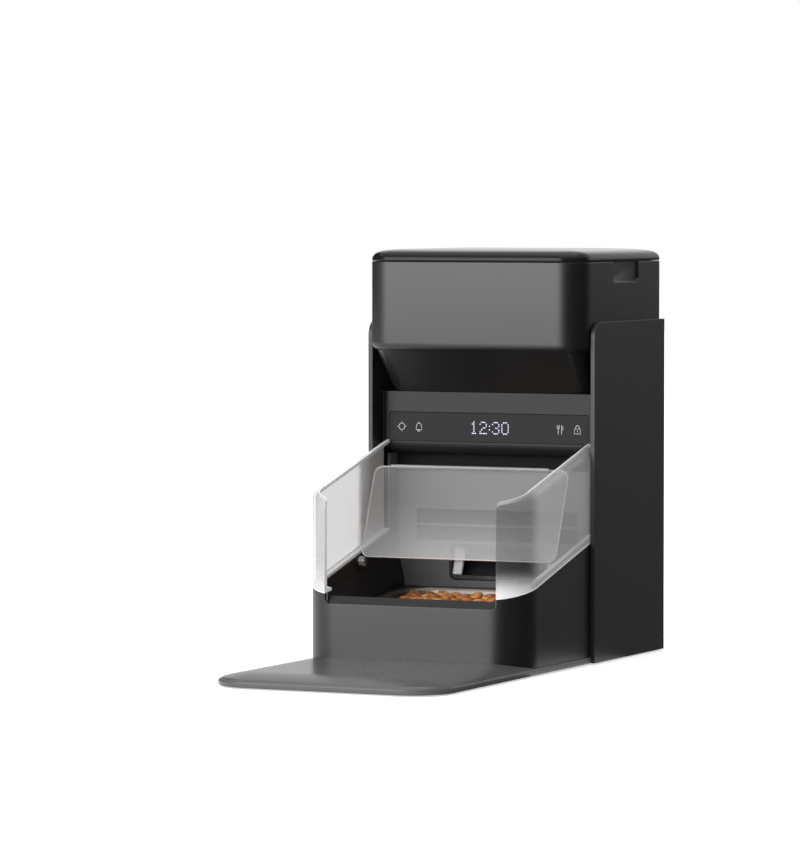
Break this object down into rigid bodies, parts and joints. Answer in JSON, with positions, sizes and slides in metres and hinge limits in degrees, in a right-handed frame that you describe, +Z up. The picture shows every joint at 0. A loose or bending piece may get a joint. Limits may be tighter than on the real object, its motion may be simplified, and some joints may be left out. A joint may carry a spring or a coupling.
{
  "type": "microchip pet feeder",
  "caption": "Dry-food feeder with tank, vane wheel, steel bowl, clear side shields and a clear flap that opens for one tagged animal",
  "frame": {"origin": "centre of the bounding box in X and Y, on the table in Z", "axes": "+X across the feeder, +Y from the front edge of the mat to the back, +Z up from the table"},
  "size_m": [0.1908, 0.422, 0.3162],
  "materials": {
    "mat_plastic": "satin moulded",
    "body_plastic": "satin moulded",
    "black_plastic": "matt moulded",
    "clear_plastic": "clear moulded",
    "dark_window": "glossy tinted",
    "bowl_steel": "drawn steel",
    "rubber": "matt",
    "board": "solder mask",
    "steel": "plain",
    "brass": "turned",
    "copper": "wound wire"
  },
  "bodies": {
    "feeder": {"base_plate": "mat_plastic", "rubber_feet": "rubber", "body_housing": "body_plastic", "rear_housing": "body_plastic", "housing_screws": "steel", "bowl_tray": "black_plastic", "bay_back_panel": "black_plastic", "outlet_bezel": "black_plastic", "left_shield": "clear_plastic", "right_shield": "clear_plastic", "rear_shell": "body_plastic", "shell_screws": "steel", "tower_housing": "body_plastic", "fascia_panel": "body_plastic", "display_window": "dark_window", "display_board": "board", "main_board": "board", "board_screws": "steel", "antenna_coil": "copper", "food_sensors": "black_plastic", "feed_chute": "black_plastic", "rotor_housing": "black_plastic", "rotor_bushes": "brass", "feed_gearmotor": "steel", "flap_gearmotor": "steel", "battery_box": "black_plastic", "battery_contacts": "steel", "power_inlet": "black_plastic", "tank_seal": "rubber"},
    "flap": {"flap": "clear_plastic", "flap_catch": "clear_plastic", "flap_drive_crank": "steel", "flap_hinge_pin": "steel"},
    "motor_crank": {"flap_motor_crank": "steel"},
    "push_rod": {"flap_push_rod": "steel"},
    "rotor": {"rotor_shaft": "steel", "rotor_wheel": "black_plastic"},
    "bowl": {"bowl": "bowl_steel"},
    "tank": {"tank": "body_plastic", "tank_funnel": "body_plastic"},
    "lid": {"lid": "body_plastic", "lid_seal": "rubber", "desiccant_box": "black_plastic"},
    "battery_cover": {"battery_cover": "body_plastic"}
  },
  "joints": [
    {"name": "flap_swing", "type": "hinge", "parent": "feeder", "child": "flap", "pos_m": [0, 0.0268, 0.07688], "axis": [1, 0, 0], "range_deg": [0, 120.2]},
    {"name": "motor_crank_turn", "type": "hinge", "parent": "feeder", "child": "motor_crank", "pos_m": [0.0865, 0.1118, 0.09965], "axis": [1, 0, 0], "range_deg": [0, 120.2]},
    {"name": "push_rod_pivot", "type": "hinge", "parent": "motor_crank", "child": "push_rod", "pos_m": [0.0875, 0.10684, 0.09471], "axis": [1, 0, 0], "range_deg": [-120.2, 0]},
    {"name": "rotor_spin", "type": "hinge", "parent": "feeder", "child": "rotor", "pos_m": [0, 0.1558, 0.1641], "axis": [1, 0, 0], "continuous": true},
    {"name": "bowl_lift", "type": "slide", "parent": "feeder", "child": "bowl", "axis": [0, 0, 1], "range_m": [0, 0.02]},
    {"name": "tank_lift", "type": "slide", "parent": "feeder", "child": "tank", "axis": [0, 0, 1], "range_m": [0, 0.08]},
    {"name": "lid_lift", "type": "slide", "parent": "tank", "child": "lid", "axis": [0, 0, 1], "range_m": [0, 0.06]},
    {"name": "battery_cover_pull", "type": "slide", "parent": "feeder", "child": "battery_cover", "axis": [0, 1, 0], "range_m": [0, 0.03]}
  ],
  "couplings": [
    {"joint": "motor_crank_turn", "follows": "flap_swing", "ratio": 1},
    {"joint": "push_rod_pivot", "follows": "flap_swing", "ratio": -1}
  ]
}
